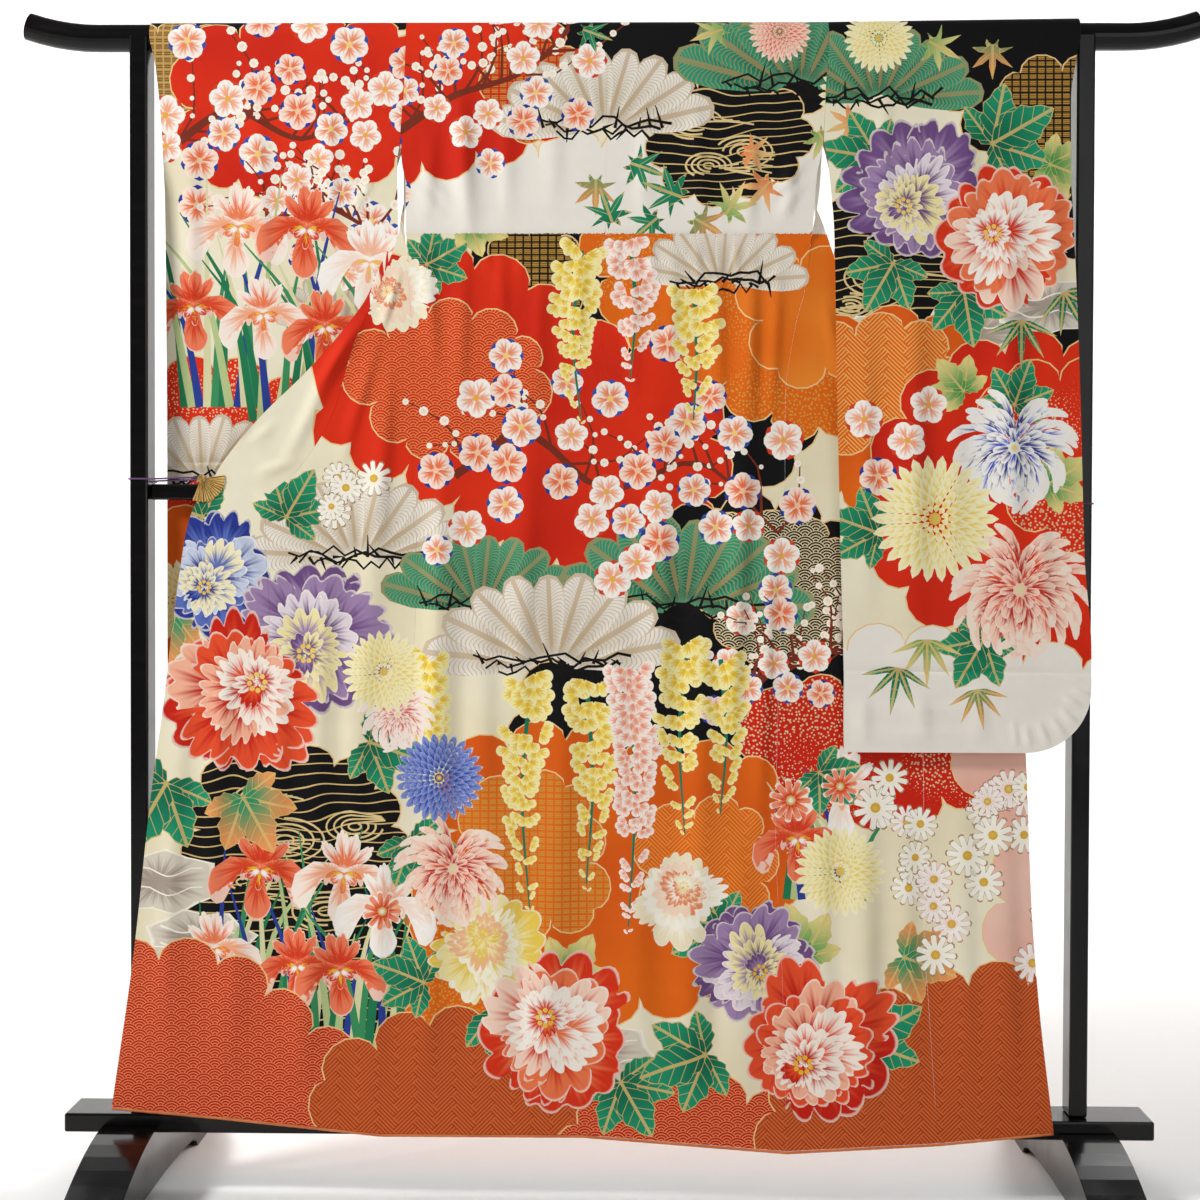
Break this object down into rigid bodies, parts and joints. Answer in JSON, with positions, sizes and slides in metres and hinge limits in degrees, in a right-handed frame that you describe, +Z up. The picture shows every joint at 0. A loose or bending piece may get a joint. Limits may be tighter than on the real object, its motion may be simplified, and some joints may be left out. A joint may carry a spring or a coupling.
{
  "type": "furisode kimono on a kimono stand",
  "caption": "Long-sleeved formal kimono hung open from behind on a lacquered rail stand, its two fronts held out by fan clips on cords.",
  "frame": {"origin": "on the floor under the middle of the stand", "axes": "+Z up, X along the rail, -Y towards the side that the kimono's back faces"},
  "size_m": [1.6834, 0.6, 1.6972],
  "materials": {
    "black_lacquer": "black lacquer, glossy",
    "old_brass": "antiqued",
    "violet_cord": "braided silk",
    "printed_silk": "silk crepe, dyed and gilded",
    "collar_silk": "silk crepe",
    "hem_lining": "plain silk"
  },
  "bodies": {
    "root": {"top_rail": "black_lacquer", "left_post": "black_lacquer", "right_post": "black_lacquer", "middle_rail": "black_lacquer", "base_plank": "black_lacquer", "left_foot": "black_lacquer", "right_foot": "black_lacquer", "left_clip": "old_brass", "right_clip": "old_brass", "left_cord": "violet_cord", "right_cord": "violet_cord", "left_back": "printed_silk", "right_back": "printed_silk", "left_front": "printed_silk", "right_front": "printed_silk", "left_okumi": "printed_silk", "right_okumi": "printed_silk", "left_sleeve_back": "printed_silk", "left_sleeve_front": "printed_silk", "right_sleeve_back": "printed_silk", "right_sleeve_front": "printed_silk", "collar": "collar_silk", "left_collar_end": "collar_silk", "right_collar_end": "collar_silk", "hem_roll": "hem_lining"}
  },
  "joints": []
}
